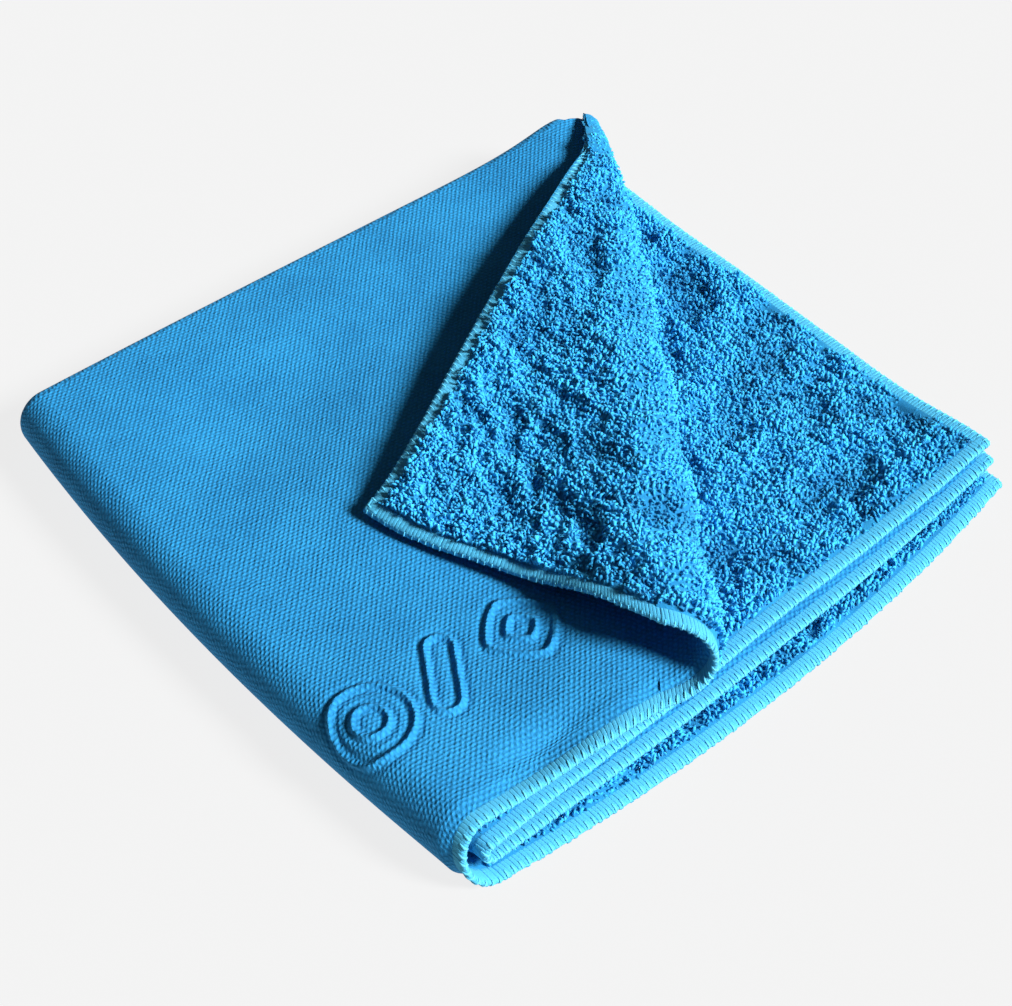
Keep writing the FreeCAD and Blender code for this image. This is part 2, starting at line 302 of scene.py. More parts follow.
def volume(points, faces):
    """Signed volume inside closed faces, from the tetrahedra that their fans make with the origin."""
    total = 0.0
    for group in faces:
        for corner in range(1, group.shape[1] - 1):
            a, b, c = points[group[:, 0]], points[group[:, corner]], points[group[:, corner + 1]]
            total += np.einsum("ij,ij->", a, np.cross(b, c))
    return total


def outward(points, faces):
    """The same faces, turned so that they point out of the solid."""
    return [group[:, ::-1] for group in faces] if volume(points, faces) < 0 else faces


def edged(line):
    """The same grid lines, with one more close inside each end, so that only the very rim is shaded round."""
    inner = [line[0] + RIM_SHARE * (line[1] - line[0]), line[-1] - RIM_SHARE * (line[-1] - line[-2])]
    return np.concatenate([line[:1], inner[:1], line[1:-1], inner[1:], line[-1:]])


def slab(surface, cloth, p, q, short_way, short_side, long_side):
    """A closed sheet: the middle surface's grid, moved along its normal to the short-pile side and to the
    long-pile side by two thicknesses, and joined round the rim. short_way is 1 or -1 along the normal."""
    p, q = np.meshgrid(edged(p), edged(q), indexing="ij")
    here, _, normal = lie(surface, p, q)
    normal = normal * short_way
    short = here + normal * short_side(p, q)[..., None]
    long = here - normal * long_side(p, q)[..., None]
    points = np.concatenate([short.reshape(-1, 3), long.reshape(-1, 3)])
    index = np.arange(p.size).reshape(p.shape)
    quads = np.stack([index[:-1, :-1], index[1:, :-1], index[1:, 1:], index[:-1, 1:]], -1).reshape(-1, 4)
    rim = np.concatenate([index[:, 0], index[-1, 1:], index[-2::-1, -1], index[0, -2:0:-1]])
    after = np.roll(rim, -1)
    wall = np.stack([after, rim, rim + p.size, after + p.size], -1)
    faces = outward(points, [quads, quads[:, ::-1] + p.size, wall])
    spread = np.tile(cloth(p, q).reshape(-1, 2), (2, 1))
    kinds = {"slots": [0, 1, 1], "rounded": [True, True, False]}
    # the sheet itself gets no painted light: where the long pile's foot shows between curls, it is painted in
    # shade
    return {"points": points, "faces": faces, "cloth": spread, "tip": np.zeros(2 * p.size), **kinds}


def piece(name, parts, materials):
    """A mesh object from parts. Each part has points in millimetres, groups of faces, each group's material,
    and two values at each point: its place on the cloth, and its painted light, from 0 for painted shade, as
    at a curl's foot, up to painted highlight, as at a curl's tip."""
    points = np.concatenate([part["points"] for part in parts]) * MM
    groups, slots, rounded, start = [], [], [], 0
    for part in parts:
        for group, slot, smooth_faces in zip(part["faces"], part["slots"], part["rounded"]):
            groups.append(group + start)
            slots.append(np.full(len(group), slot))
            rounded.append(np.full(len(group), smooth_faces))
        start += len(part["points"])
    mesh = bpy.data.meshes.new(name)
    mesh.vertices.add(len(points))
    mesh.vertices.foreach_set("co", points.astype(np.float32).ravel())
    corners = np.concatenate([group.ravel() for group in groups])
    sizes = np.concatenate([np.full(len(group), group.shape[1]) for group in groups])
    starts = np.concatenate([[0], np.cumsum(sizes)[:-1]])
    mesh.loops.add(len(corners))
    mesh.loops.foreach_set("vertex_index", corners.astype(np.int32))
    mesh.polygons.add(len(sizes))
    mesh.polygons.foreach_set("loop_start", starts.astype(np.int32))
    mesh.polygons.foreach_set("material_index", np.concatenate(slots).astype(np.int32))
    mesh.polygons.foreach_set("use_smooth", np.concatenate(rounded))
    mesh.update(calc_edges=True)
    place = mesh.attributes.new("cloth", "FLOAT_VECTOR", "POINT")
    cloth = np.concatenate([part["cloth"] for part in parts])
    place.data.foreach_set("vector", np.pad(cloth, ((0, 0), (0, 1))).astype(np.float32).ravel())
    tip = mesh.attributes.new("tip", "FLOAT", "POINT")
    tip.data.foreach_set("value", np.concatenate([part["tip"] for part in parts]).astype(np.float32))
    for material in materials:
        mesh.materials.append(material)
    made = bpy.data.objects.new(name, mesh)
    bpy.context.scene.collection.objects.link(made)
    return made


# ---- The long pile ----
# On its other face the cloth has soft loops, cut and brushed into curls about 3 mm long. They lean and clump
# together, and where the towel was pressed or handled they part and leave hollows. The curls' feet and the
# hollows are painted darker as painted shade, and the curls' tips paler as painted highlight.

# the long pile's colours, mixed by painted light: painted shade at the curls' feet and in hollows, painted
# highlight at their tips, and random clouds
LONG_DEEP = (0.012, 0.180, 0.405, 1)
LONG_BRIGHT = (0.048, 0.490, 0.890, 1)


def long_pile_paint():
    """Long curly pile: painted shade at the roots and painted highlight at the tips of the curls, in lighter
    and darker clouds of random tone.
    """
    paint = Paint("long_pile")
    place = paint.attribute("cloth", "Vector")
    tip = paint.attribute("tip", "Fac")
    fuzz = paint.noise(place, 3.5, 3.0)
    patches = paint.noise(place, 0.05, 3.0)
    # painted shade at the curls' feet and painted highlight at their tips, with random fuzz and clouds
    tone = paint.ramp(tip * 0.8 + fuzz * 0.4 + patches * 1.5, 0.5, 1.95)
    return paint.fibres(paint.between(tone, LONG_DEEP, LONG_BRIGHT), fuzz, 0.20, 0.2)


long_pile = long_pile_paint()

# hollows where the long pile is pressed: the curls stand lower there and are also painted darker, as painted
# shade
HOLLOW_DEEP = 1.7
HOLLOWS = ((88.0, -22.0, 13.0), (60.0, -66.0, 9.0), (96.0, -62.0, 8.0), (79.0, 26.0, 9.0), (50.0, -30.0, 7.0))


def relief(place, hollows):
    """How far the long pile stands above or below its usual height: broad swells, clumps and curls, and a few
    bell-shaped hollows where it was pressed, each given as a place and a size."""
    x, y = place[..., 0], place[..., 1]
    height = 0.65 * wavy(x, y, 26, 41) + 0.42 * wavy(x, y, 11, 42) + 0.25 * wavy(x, y, 4.5, 31)
    for hollow_x, hollow_y, size in hollows:
        height = height - HOLLOW_DEEP * np.exp(-((x - hollow_x) ** 2 + (y - hollow_y) ** 2) / size**2)
    return np.clip(height, -1.9, 1.3)


def tubes(rings, cloth, tip):
    """Closed tubes through rings of points: rings has tube, ring along it, corner round it."""
    count, along, around = rings.shape[:3]
    index = np.arange(count * along * around).reshape(count, along, around)
    beside = np.roll(index, -1, axis=2)
    walls = np.stack([index[:, :-1], beside[:, :-1], beside[:, 1:], index[:, 1:]], -1).reshape(-1, 4)
    points = rings.reshape(-1, 3)
    faces = outward(points, [walls, index[:, 0, ::-1], index[:, -1]])
    spread = np.broadcast_to(cloth[:, None, None], (count, along, around, 2)).reshape(-1, 2)
    tips = np.broadcast_to(tip, (count, along, around)).reshape(-1)
    kinds = {"slots": [0, 0, 0], "rounded": [True, True, True]}
    return {"points": points, "faces": faces, "cloth": spread, "tip": tips, **kinds}


CURL_SPACING = 1.18
CURL_FOOT = 1.4  # above the middle of the cloth
CURL_CORNERS = 3
# from a curl's foot to its tip: height, reach sideways, width and painted light, from painted shade at the
# foot to painted highlight near the tip
CURL_RISE = np.array([-0.5, 0.5, 0.95, 0.8])
CURL_REACH = np.array([0.0, 0.25, 0.8, 1.5])
CURL_WIDTH = np.array([0.9, 1.05, 0.9, 0.4])
CURL_PAINTED_LIGHT = np.array([0.0, 0.5, 1.0, 0.9])


def curls(surface, cloth, p, q, short_way, foot, hollows, seed, size=1.0):
    """Curly tufts. Each is a short tube that stands on the cloth's long-pile side, leans over and curls back
    down at its tip. Neighbours lean alike in clumps, and stand lower where the pile has parted."""
    draw = np.random.default_rng(seed)
    here, along, normal = lie(surface, p, q)
    up = -short_way * normal
    across = np.cross(up, along)
    spread = cloth(p, q)
    clump = wavy(spread[:, 0], spread[:, 1], 5, 43)
    level = relief(spread, hollows)
    turn = 1.6 * wavy(spread[:, 0], spread[:, 1], 7, seed + 2) + draw.uniform(-1.6, 1.6, len(p))
    side = unit(along * np.cos(turn)[:, None] + across * np.sin(turn)[:, None])
    height = draw.uniform(0.7, 1.5, len(p)) * (1 + 0.22 * clump) * size
    lean = draw.uniform(0.35, 1.05, len(p))
    width = draw.uniform(0.34, 0.60, len(p))
    rise = (foot + level * size)[:, None] + CURL_RISE * height[:, None]
    centre = here[:, None] + up[:, None] * rise[..., None]
    centre = centre + side[:, None] * (CURL_REACH * lean[:, None])[..., None]
    tangent = unit(np.gradient(centre, axis=1))
    first = np.broadcast_to(np.cross(side, up)[:, None], tangent.shape)
    second = np.cross(tangent, first)
    angle = 2 * math.pi * np.arange(CURL_CORNERS) / CURL_CORNERS
    ring = first[:, :, None] * np.cos(angle)[:, None] + second[:, :, None] * np.sin(angle)[:, None]
    rings = centre[:, :, None] + ring * (CURL_WIDTH * width[:, None])[..., None, None]
    # painted light along each curl: painted shade at its foot, painted highlight near its tip, and more
    # painted shade where the pile stands low, in hollows and short clumps
    tip = np.clip(CURL_PAINTED_LIGHT + 0.42 * level[:, None] + 0.1 * clump[:, None], 0, 1.5)
    return tubes(rings, spread, tip[..., None])


def spots(p_low, p_high, q_low, q_high, seed):
    """Staggered rows of places between the limits, a curl's spacing apart, each moved a little at random."""
    draw = np.random.default_rng(seed)
    rows = np.arange(p_low, p_high, CURL_SPACING * 0.87)
    cells = np.arange(q_low, q_high, CURL_SPACING)
    p, q = np.meshgrid(rows, cells, indexing="ij")
    q = q + (np.arange(len(rows)) % 2)[:, None] * CURL_SPACING / 2
    shake = draw.uniform(-0.34, 0.34, (2,) + p.shape) * CURL_SPACING
    return (p + shake[0]).ravel(), (q + shake[1]).ravel()


# ---- The overlock binding ----
# Bulked polyester thread, a little paler than the cloth. Strands wrap the squeezed edge from the needle line
# to the underside, a tight one makes a tooth at each stitch, and a looper thread locks them at the edge.

# the thread's colours, mixed by each thread's painted light and a random fibre noise: painted shade on the
# band, painted highlight on the teeth and cord
THREAD_DEEP = (0.030, 0.290, 0.560, 1)
THREAD_BRIGHT = (0.130, 0.620, 0.860, 1)


def thread_paint():
    """Overlock thread: fine bulked yarn, painted palest on the teeth and the looper cord as painted
    highlight, and darkest on the band under the strands as painted shade.
    """
    paint = Paint("overlock_thread")
    place = paint.attribute("cloth", "Vector")
    fibre = paint.noise(place, 2.6, 4.0)
    tip = paint.attribute("tip", "Fac")
    # each thread's painted light makes it darker or paler, as painted shade or painted highlight
    tone = paint.ramp(fibre * 0.5 + tip, 0.15, 1.35)
    return paint.fibres(paint.between(tone, THREAD_DEEP, THREAD_BRIGHT), fibre, 0.10, 0.25)


thread = thread_paint()

STITCH = 2.15
BAND_HALF = 0.85  # half the squeezed edge's thickness
BAND_OUT = 0.35  # the band ends this far inside the binding's outer edge
NEEDLE_IN = binding_width - 0.4
STRANDS = 2  # wrapped strands in each stitch
THREAD_APART = 40.0  # from one binding's place in the thread's pattern to the next one's
# from the needle line round the edge: a tooth's distance in from the edge, height and half width
TOOTH_IN = np.array([2.2, 1.7, 1.0, 0.3, -0.02, 0.15, 0.8])
TOOTH_HIGH = np.array([0.95, 1.04, 1.06, 0.84, 0.15, -0.66, -0.95]) * BAND_HALF
TOOTH_WIDE = np.array([0.14, 0.24, 0.32, 0.34, 0.30, 0.24, 0.15])


def flattened(count, power):
    """A flattened round section: places from the outer edge inwards, and heights, both from -1 to 1, as the
    cosine and sine of an angle with their sizes raised to a power."""
    angle = 2 * math.pi * np.arange(count) / count
    cos, sin = np.cos(angle), np.sin(angle)
    return np.sign(cos) * np.abs(cos) ** power, np.sign(sin) * np.abs(sin) ** power


def binding(name, edge, seed):
    """Overlock along an edge. edge(t, w) is the cloth's middle surface, t from 0 to 1 along the edge and w
    millimetres in from it. A point of the thread is given by its distance along the edge, in from it and off
    the middle surface, and each thread is a tube along a line of such points."""
    draw = np.random.default_rng(seed)
    fine = np.linspace(0, 1, 400)
    path = edge(fine, np.zeros_like(fine))
    length = np.concatenate([[0], np.cumsum(np.linalg.norm(np.diff(path, axis=0), axis=1))])

    def on_edge(s, w, h):
        """Point s millimetres along, w in from the edge, and h off the middle surface."""
        t = np.interp(s, length, fine)
        inside = np.clip(t, 2 * STEP, 1 - 2 * STEP)
        here, _, normal = lie(edge, inside, w)
        return here + (edge(t, w) - edge(inside, w)) + normal * h[..., None]

    def placed(s, w):
        """Place in the thread's pattern."""
        return np.stack([s, w], -1).reshape(-1, 2) + seed * THREAD_APART

    def wrap(s_line, w_line, h_line, wide, low, corners, thread_light):
        """Tubes on lines given along the edge, in from it and off the middle: wide along it, low off it. The
        last argument is the whole thread's share of painted light.
        """
        angle = 2 * math.pi * np.arange(corners) / corners
        w_line, h_line = np.broadcast_arrays(w_line, h_line)
        ahead_w, ahead_h = np.gradient(w_line, axis=1), np.gradient(h_line, axis=1)
        scale = np.maximum(np.hypot(ahead_w, ahead_h), 1e-6)[..., None]
        s_ring = s_line[..., None] + wide * np.cos(angle)
        w_ring = w_line[..., None] - low * ahead_h[..., None] / scale * np.sin(angle)
        h_ring = h_line[..., None] + low * ahead_w[..., None] / scale * np.sin(angle)
        made = tubes(on_edge(s_ring, w_ring, h_ring), np.zeros((len(s_line), 2)), np.full((1, 1, 1), thread_light))
        made["cloth"] = placed(s_ring, w_ring + 7 * (h_ring > 0))
        return made

    total = length[-1]
    stitches = max(2, int(round(total / STITCH)))
    pitch = total / stitches
    # the band of squeezed cloth and filling thread, painted darkest as painted shade under the strands
    s = np.linspace(0, total, stitches * 3 + 1)
    inwards, height = flattened(12, 0.6)
    middle = binding_width / 2
    s_band, w_band = np.meshgrid(s, middle - inwards * (middle - BAND_OUT), indexing="ij")
    h_band = np.broadcast_to(height * BAND_HALF, s_band.shape)
    band = tubes(on_edge(s_band, w_band, h_band)[None], np.zeros((1, 2)), np.zeros((1, 1, 1)))
    band["cloth"] = placed(s_band, w_band)
    # the strands, once round the edge and back, painted half way between painted shade and painted highlight
    turn = np.linspace(0, 1, 12)
    reach = NEEDLE_IN * (0.5 + 0.5 * np.cos(2 * math.pi * turn))
    lift = BAND_HALF * np.sign(0.5 - turn) * np.clip(np.abs(np.sin(2 * math.pi * turn)) * 1.9, 0, 1)
    lift = lift * np.interp(reach, [0, 1.5, NEEDLE_IN], [0.7, 1, 0.95])
    slant = np.interp(turn, [0, 0.5, 1], [-0.25, 0.1, 0.45]) * pitch * 0.3
    count = stitches * STRANDS
    at = (np.arange(count) + 0.5) * pitch / STRANDS + draw.normal(0, 0.05, count)
    in_line = reach + draw.normal(0, 0.06, (count, 1))
    strands = wrap(at[:, None] + slant, in_line, lift, pitch / STRANDS * 0.62, 0.10, 6, 0.45)
    # the tight thread's teeth, painted palest as painted highlight
    at = (np.arange(stitches) + 0.5) * pitch + draw.normal(0, 0.09, stitches)
    lean = np.linspace(0.28, -0.1, len(TOOTH_IN))
    in_line = TOOTH_IN + draw.normal(0, 0.05, (stitches, 1))
    wide = TOOTH_WIDE[:, None]
    teeth = wrap(at[:, None] + lean, in_line, TOOTH_HIGH, wide, 0.6 * wide, 5, 1.1)
    # the looper thread, a wavy cord along the very edge, painted pale as painted highlight
    s = np.linspace(0, total, stitches * 6 + 1)
    wave = 2 * math.pi * s / pitch
    angle = 2 * math.pi * np.arange(6) / 6
    s_cord = np.broadcast_to(s[:, None], (len(s), 6))
    w_cord = (0.26 - 0.08 * np.sin(wave))[:, None] + 0.20 * np.cos(angle)
    h_cord = (0.10 * np.cos(wave) + 0.05)[:, None] + 0.34 * np.sin(angle)
    looper = tubes(on_edge(s_cord, w_cord, h_cord)[None], np.zeros((1, 2)), np.full((1, 1, 1), 0.7))
    looper["cloth"] = placed(s_cord, w_cord + 15)
    made = piece(name + "_thread", [band, strands, teeth, looper], [thread])
    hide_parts(name)
    return made


# ---- The bottom layer ----
# The quarter of the towel that lies on the table, long pile up. It shows past the others along the front and
# at the loose corner. Its two raw edges are overlocked, and the others go over into the folds.

LAYER_GRID = 2.0
MEET = 0.6  # two bindings end this far from the loose corner


def plan(surface):
    """Place on the cloth of a flat layer: where it lies, seen from above."""
    return lambda x, y: surface(x, y)[..., :2]


def flat_layer(name, layer, short_way, short_full, body, grid):
    """A layer that runs from the spine to the side binding and from the front binding to the back fold. Its
    long side is the cloth's thickness plus the pile's relief, calm near every edge."""

    def away(x, y):
        return np.minimum(side_x - x, y - layer.front)

    def short_side(x, y):
        return squeezed(away(x, y), short_full)

    def long_side(x, y):
        calm = smooth((away(x, y) - binding_width) / 3) * smooth((x - spine_x) / 6) * smooth((back_y - y) / 6)
        return squeezed(away(x, y), LONG_SIDE) + relief(layer(x, y), HOLLOWS) * calm

    x = lines(spine_x - TUCK, side_x - RIM, grid)
    y = lines(layer.front + RIM, back_y + TUCK, grid)
    part = slab(layer, plan(layer), x, y, short_way, short_side, long_side)
    made = piece(name + "_cloth", [part], [short_pile, long_pile])
    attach(made, body)
    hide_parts(name)
    return made


def bound_edges(layer_name, layer, body, seed):
    """The front and side bindings of a layer, which meet at its loose corner."""
    across, along = side_x - MEET - spine_x, back_y - (layer.front + MEET)

    def front_edge(t, w):
        return layer(spine_x + across * t, layer.front + w)

    def side_edge(t, w):
        return layer(side_x - w, layer.front + MEET + along * t)

    front = binding("binding_%s_front" % layer_name, front_edge, seed)
    side = binding("binding_%s_side" % layer_name, side_edge, seed + 1)
    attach(front, body)
    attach(side, body)
    return [front, side]


PILE_IN = binding_width - 0.9  # the curls start this far in from a bound edge


def rim_pile(name, layer, short_way, reach, body, seed):
    """Curls in a strip along the front and side bindings, as wide as reach."""
    x, y = spots(spine_x, side_x - PILE_IN, layer.front + PILE_IN, back_y, seed)
    near = np.minimum(side_x - x, y - layer.front) < PILE_IN + reach
    foot = np.full(near.sum(), CURL_FOOT)
    part = curls(layer, plan(layer), x[near], y[near], short_way, foot, HOLLOWS, seed)
    made = piece(name, [part], [long_pile])
    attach(made, body)


bottom_panel = flat_layer(
    "bottom_panel", bottom_layer, -1, half_cloth, "lower_half", LAYER_GRID
)
rim_pile("bottom_panel_pile", bottom_layer, -1, 9.0, "lower_half", 11)
bottom_bound = bound_edges("bottom", bottom_layer, "lower_half", 1)
bottom_flat = (layer_width * MM, (back_y - bottom_front_y) * MM)

# ---- The third layer ----
# The next quarter up, joined to the bottom layer along the back. It lies short pile up, long pile down on the
# bottom layer's, and shows only as a bound edge with curls hanging under it.

third_panel = flat_layer(
    "third_panel", third_layer, 1, SHORT_SIDE, "lower_half", LAYER_GRID
)
rim_pile("third_panel_pile", third_layer, 1, 5.0, "lower_half", 12)
third_bound = bound_edges("third", third_layer, "lower_half", 3)
quarter_flat = (layer_width * MM, layer_depth * MM)

# ---- The second layer ----
# The quarter under the top one, joined to the third along the spine. Its long pile shows where the top
# layer's corner is turned back, so its grid is finer. Its curls are made once the roll's place is known.

second_panel = flat_layer("second_panel", second_layer, -1, SHORT_SIDE, "upper_half", 1.5)
second_bound = bound_edges("second", second_layer, "upper_half", 5)

# ---- The top layer ----
# The quarter on top, short pile up, from the spine as far as the line where its corner turns back. Three
# outline marks are pressed into it near the front of the spine side.

crease_back = np.array([106.0, 99.6])
crease_front = np.array([-32.9, -98.5])
CREASE = np.linalg.norm(crease_back - crease_front)
crease_run = (crease_back - crease_front) / CREASE
crease_out = np.array([crease_run[1], -crease_run[0]])
ROLL_FOOT = 17.9
BACK_RISE = 1.2  # the foot rises this much towards the back corner
BACK_BULGE = 2.0  # and the top layer bulges back beside it
MARKS = ((-91.8, -57.0), (-69.0, -56.0), (-44.5, -56.5))


def roll_foot(d):
    """Height of the line where the roll starts, level but for a rise near its back end."""
    return ROLL_FOOT + BACK_RISE * np.clip(1 - d / CREASE, 0, 1) ** 8


def top(u, v):
    """The top layer: straight rows from the spine to the crease, u across and v from front to back, bowed at
    the back, and raised along the crease by the cube of u, with swells and a dent."""
    y = front_y + (back_y - front_y) * v
    start = top_layer(spine_x + 0 * u, y)
    d = CREASE * (1 - v)
    end_x, end_y = crease_back[0] - crease_run[0] * d, crease_back[1] - crease_run[1] * d
    x = start[..., 0] * (1 - u) + end_x * u
    bulge = BACK_BULGE * 4 * u**16 * (1 - u**16) * np.clip(v, 0, 1.1) ** 8
    y = start[..., 1] * (1 - u) + end_y * u + BACK_BOW * 4 * u * (1 - u) * v + bulge
    swell = 0.5 * wavy(x, y, 80, 8) * smooth(u * 5) * smooth((1 - u) * 4) * smooth((1 - v) * 6)
    dent = 2.4 * np.exp(-(((x - DENT_AT[0]) / 14) ** 2) - ((y - DENT_AT[1]) / 5) ** 2)
    height = start[..., 2] + (roll_foot(d) - top_layer.middle) * u**3 + swell - dent + bulge
    return xyz(x, y, height)


def ridge(distance):
    """A pressed line: a bell-shaped ridge with a shallow groove on both sides."""
    return 0.95 * np.exp(-((distance / 0.65) ** 2)) - 0.35 * np.exp(-(((np.abs(distance) - 1.7) / 0.8) ** 2))


def marks(place):
    """Three raised outline marks, as ridges at set distances: two rings round a point, a capsule round a
    slanting line, and two rounded diamonds, where the distance is a sum of powers of both sides."""
    x, y = place[..., 0], place[..., 1]
    r = np.hypot(x - MARKS[0][0], y - MARKS[0][1])
    rings = ridge(r - 11.0) + ridge(r - 4.6)
    a, b = x - MARKS[1][0], y - MARKS[1][1]
    along = np.clip(0.5 * a + 0.866 * b, -8.5, 8.5)
    capsule = ridge(np.hypot(a - 0.5 * along, b - 0.866 * along) - 3.8)
    a, b = np.abs(x - MARKS[2][0]), np.abs(y - MARKS[2][1])
    diamond = (a**1.35 + b**1.35) ** (1 / 1.35)
    return rings + capsule + ridge((diamond - 10.5) * 0.85) + ridge((diamond - 4.4) * 0.85)


def graded(low, high, dense_low, dense_high, fine, coarse):
    """Grid lines, close together in one stretch."""
    before, after = lines(low, dense_low, coarse)[:-1], lines(dense_high, high, coarse)[1:]
    return np.concatenate([before, lines(dense_low, dense_high, fine), after])


MARKED = (0.13, 0.31)  # the marks lie between these shares of the layer's depth
front_to_back = graded(RIM / layer_depth, 1 + TUCK / layer_depth, *MARKED, 0.0020, 0.01)
marked_part, plain_part = np.linspace(-TUCK / 150, 0.62, 160), np.linspace(0.62, 1 + TUCK / 150, 30)
spine_to_crease = np.concatenate([marked_part[:-1], plain_part])
top_part = slab(
    top,
    plan(top),
    spine_to_crease,
    front_to_back,
    1,
    lambda u, v: squeezed(v * layer_depth, SHORT_SIDE) + marks(plan(top)(u, v)),
    lambda u, v: squeezed(v * layer_depth, LONG_SIDE),
)
top_panel = piece("top_panel_cloth", [top_part], [short_pile, long_pile])
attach(top_panel, "upper_half")
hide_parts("top_panel")
top_bound = binding("binding_top_front", lambda t, w: top(t, w / layer_depth), 7)
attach(top_bound, "upper_half")
top_area = 0.5 * ((crease_front[0] - spine_x) + (crease_back[0] - spine_x)) * layer_depth * MM * MM

# ---- The roll ----
# The top layer turns back on itself in one soft bend, long pile outwards, from the back corner to the front
# edge. It is tight at the back and opens into a wide roll at the front, where its bound edge shows.

ROLL_BACK, ROLL_FRONT = 1.6, 8.2  # half its height at each end
ROLL_WIDE = 1.6  # the roll is wider than it is high
ROLL_RETURN = 4.3  # the front edge comes back this far for each radian round the roll
ROLL_GROWTH = 0.45
THIN_END = 0.55
END_SIZE = 0.15  # of the curls at the very back, where the pile is squeezed


def roll_radius(d):
    """Half the roll's height: it grows from the back by a power of the distance."""
    return ROLL_BACK + (ROLL_FRONT - ROLL_BACK) * (np.clip(d, 0.5, None) / CREASE) ** ROLL_GROWTH


def roll(d, angle):
    """The rolled bend: half an ellipse across the crease, d millimetres from its back end, and an angle round
    it from the top layer."""
    radius = roll_radius(d)
    out = radius * ROLL_WIDE * np.sin(angle)
    x = crease_back[0] - crease_run[0] * d + crease_out[0] * out
    y = crease_back[1] - crease_run[1] * d + crease_out[1] * out
    return xyz(x, y, roll_foot(d) + radius * (1 - np.cos(angle)))


def roll_length(angle):
    """Distance from the back to the bound edge, at an angle round the roll."""
    return CREASE - ROLL_RETURN * angle


def roll_place(d, angle):
    """Place on the cloth: the way round the ellipse, laid flat beside the crease."""
    arc = roll_radius(d) * (angle + (ROLL_WIDE - 1) * np.sin(angle) * 0.6)
    x = crease_back[0] - crease_run[0] * d + crease_out[0] * arc
    y = crease_back[1] - crease_run[1] * d + crease_out[1] * arc
    return np.stack([x, y], -1)


def by_share(surface):
    """The roll on a share of its length, so that its front stays on the edge all the way round."""
    return lambda share, angle: surface(share * roll_length(angle), angle)


def back_thin(share, angle):
    """The cloth thins to the back end of the bend, except at the foot, where it joins the top layer."""
    return 1 - THIN_END * smooth(1.1 - share * CREASE / 25) * smooth(angle / 1.2)


def end_size(d):
    """The curls' size, small at the back end and full 33 millimetres from it."""
    return END_SIZE + (1 - END_SIZE) * smooth(d / 30 - 0.1)


def crease_short(share, angle):
    """Thickness on the short-pile side, inside the bend."""
    return squeezed((1 - share) * CREASE, SHORT_SIDE) * back_thin(share, angle)


def crease_long(share, angle):
    """Thickness on the long-pile side: thinned, plus the relief of the pile away from the edges."""
    place = roll_place(share * roll_length(angle), angle)
    calm = smooth(angle * 1.5) * smooth((1 - share) * CREASE / 8 - 0.6) * (0.3 + 0.7 * smooth(share * 5))
    return squeezed((1 - share) * CREASE, LONG_SIDE) * back_thin(share, angle) + relief(place, ()) * calm


def from_back(front, count):
    """Shares from the back corner to the front, closer together at the very back."""
    return np.concatenate([np.linspace(0, 0.05, 14)[:-1], np.linspace(0.05, front, count)])


crease_share = from_back(1 - RIM / CREASE, 200)
crease_turn = np.linspace(-OVER, math.pi + OVER, 36)
roll_by_share, place_by_share = by_share(roll), by_share(roll_place)
crease_part = slab(roll_by_share, place_by_share, crease_share, crease_turn, 1, crease_short, crease_long)
flap_crease = piece("flap_crease_cloth", [crease_part], [short_pile, long_pile])
crease_bound = binding("binding_crease", lambda t, w: roll(roll_length(t * math.pi) - w, t * math.pi), 8)
d, arc = spots(2.5, CREASE - binding_width, 0.0, 40.0, 14)
angle = arc / (roll_radius(d) * (1 + (ROLL_WIDE - 1) * 0.5))
keep = (angle < math.pi) & (d < roll_length(angle) - PILE_IN)
size = end_size(d[keep])
crease_curls = curls(roll, roll_place, d[keep], angle[keep], 1, 1.3 * size, (), 14, size)
crease_pile = piece("flap_crease_pile", [crease_curls], [long_pile])
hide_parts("flap_crease")
for made in (flap_crease, crease_bound, crease_pile):
    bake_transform(made)
roll_round = 4.05 * roll_radius(np.linspace(0.5, CREASE, 400)).mean()  # half way round an ellipse, 1.6 to 1

# ---- The turned-back corner ----
# The loose corner of the top layer lies back over it, long pile up, as a bowed triangle. Its two raw edges
# keep their overlock. The side towards the spine stands clear of the layer under it and shades it.

TIP = np.array([-53.0, -2.3])
SIDE_BACK = np.array([101.5, 92.0])
SIDE_Z = 22.5
SIDE_OUT = np.array([-0.52, 0.855])  # the way that the side bows
SIDE_LIFT = 7.5
FRONT_BOW = -29.0
FALL_AT = 0.3  # from the roll, the front edge has come down this share of the way across
FALL_BACK = (0.58, 0.77)  # and lies this much further back for each millimetre it is lower
flap_length = float(roll_length(math.pi))


def flap_rows(b):
    """The two ends of a row of the corner: on the roll's top line, and on the corner's free side, which bows
    out by a high power of b and in by a fading exponential, and stands up as a flattened sine."""
    start = roll(b * flap_length, np.pi + 0 * b)
    bow = 4.0 * b**16 - 2.6 - 1.8 * np.exp(-b / 0.15)
    x = SIDE_BACK[0] + (TIP[0] - SIDE_BACK[0]) * b + SIDE_OUT[0] * bow
    y = SIDE_BACK[1] + (TIP[1] - SIDE_BACK[1]) * b + SIDE_OUT[1] * bow
    z = SIDE_Z + SIDE_LIFT * np.clip(np.sin(math.pi * b), 0, 1) ** 0.55
    return start, xyz(x, y, z)


